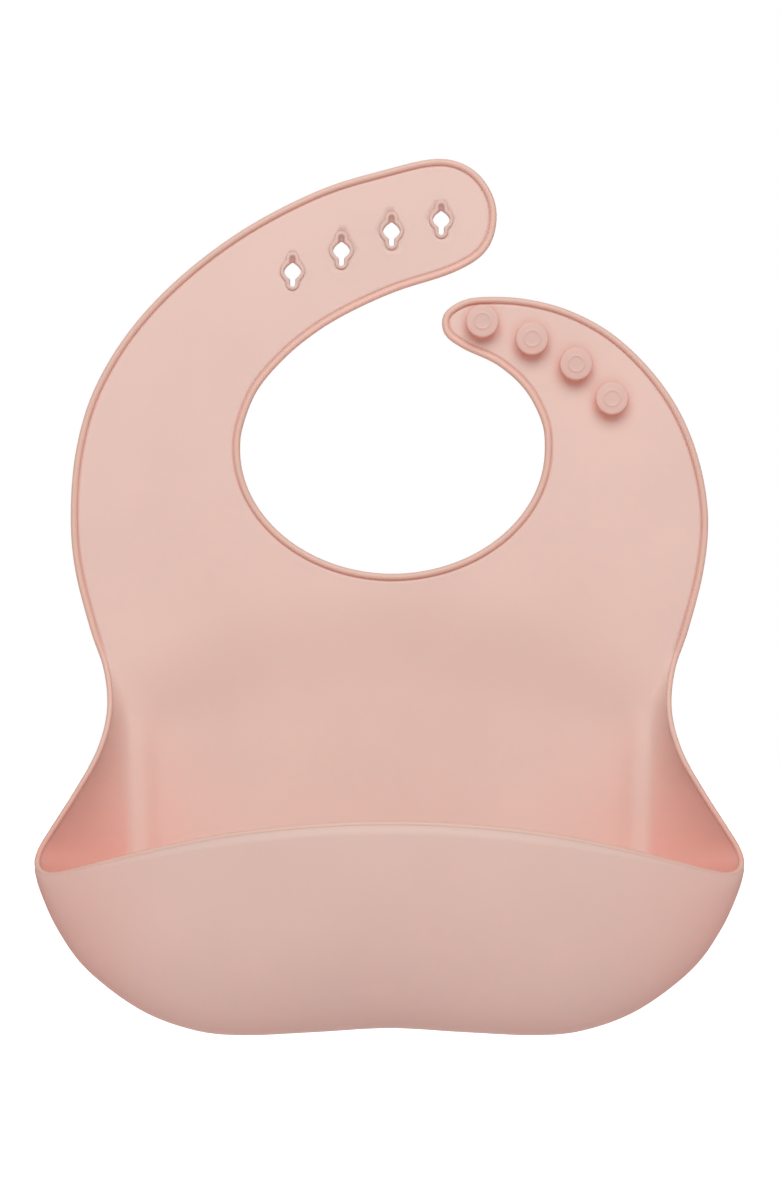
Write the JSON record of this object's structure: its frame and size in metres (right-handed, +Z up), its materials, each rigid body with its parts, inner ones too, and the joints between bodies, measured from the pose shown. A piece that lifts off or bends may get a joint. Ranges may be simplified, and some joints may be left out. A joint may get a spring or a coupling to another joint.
{
  "type": "silicone baby bib",
  "caption": "Soft silicone baby bib with a crumb-catching pocket, a beaded edge and a neck strap that closes with studs pushed through raised-lip holes.",
  "frame": {"origin": "centre of the neck opening, on the back plane of the chest panel", "axes": "upright as worn: +X to the right as seen from the front, +Z up, the front faces -Y"},
  "size_m": [0.2272, 0.0575, 0.2863],
  "materials": {
    "sheet": "soft matte pink silicone",
    "edge": "soft matte pink silicone, rounded bead",
    "stud": "soft matte pink silicone",
    "pocket": "soft matte pink silicone"
  },
  "bodies": {
    "chest": {"chest_panel": "sheet", "neckline_bead": "edge", "chest_bead_left": "edge", "chest_bead_right": "edge"},
    "hole_strap_base": {"hole_strap_base": "sheet", "hole_strap_base_bead_outer": "edge", "hole_strap_base_bead_inner": "edge"},
    "hole_strap_tip": {"hole_strap_tip": "sheet", "hole_strap_tip_bead": "edge", "hole_lip_1": "edge", "hole_lip_2": "edge", "hole_lip_3": "edge", "hole_lip_4": "edge"},
    "stud_strap_base": {"stud_strap_base": "sheet", "stud_strap_base_bead_inner": "edge", "stud_strap_base_bead_outer": "edge", "stud_3": "stud", "stud_4": "stud"},
    "stud_strap_tip": {"stud_strap_tip": "sheet", "stud_strap_tip_bead": "edge", "stud_1": "stud", "stud_2": "stud"},
    "pocket": {"pocket_back_wall": "pocket", "pocket_side_wall_left": "pocket", "pocket_side_wall_right": "pocket", "pocket_floor": "pocket", "pocket_side_rim_left": "edge", "pocket_side_rim_right": "edge"},
    "pocket_front": {"pocket_front_wall": "pocket", "pocket_rim": "edge"}
  },
  "joints": [
    {"name": "hole_strap_shoulder", "type": "hinge", "parent": "chest", "child": "hole_strap_base", "pos_m": [-0.077, -0.0008, 0], "axis": [-1, 0, 0], "range_deg": [-40, 80], "stiffness_Nm_per_rad": 0.05},
    {"name": "hole_strap_fold", "type": "hinge", "parent": "hole_strap_base", "child": "hole_strap_tip", "pos_m": [-0.0523, -0.0008, 0.0489], "axis": [-0.7312, 0, 0.6822], "range_deg": [-40, 70], "stiffness_Nm_per_rad": 0.03},
    {"name": "stud_strap_shoulder", "type": "hinge", "parent": "chest", "child": "stud_strap_base", "pos_m": [0.0775, -0.0008, 0], "axis": [-1, 0, 0], "range_deg": [-40, 80], "stiffness_Nm_per_rad": 0.05},
    {"name": "stud_strap_fold", "type": "hinge", "parent": "stud_strap_base", "child": "stud_strap_tip", "pos_m": [0.0546, -0.0008, 0.0324], "axis": [-0.4988, 0, -0.8667], "range_deg": [-40, 60], "stiffness_Nm_per_rad": 0.02},
    {"name": "waist_fold", "type": "hinge", "parent": "chest", "child": "pocket", "pos_m": [0, -0.0008, -0.0635], "axis": [1, 0, 0], "range_deg": [-85, 70], "stiffness_Nm_per_rad": 0.3},
    {"name": "pocket_mouth", "type": "hinge", "parent": "pocket", "child": "pocket_front", "pos_m": [0, -0.032, -0.19], "axis": [1, 0, 0], "range_deg": [0, 20], "stiffness_Nm_per_rad": 0.3}
  ]
}
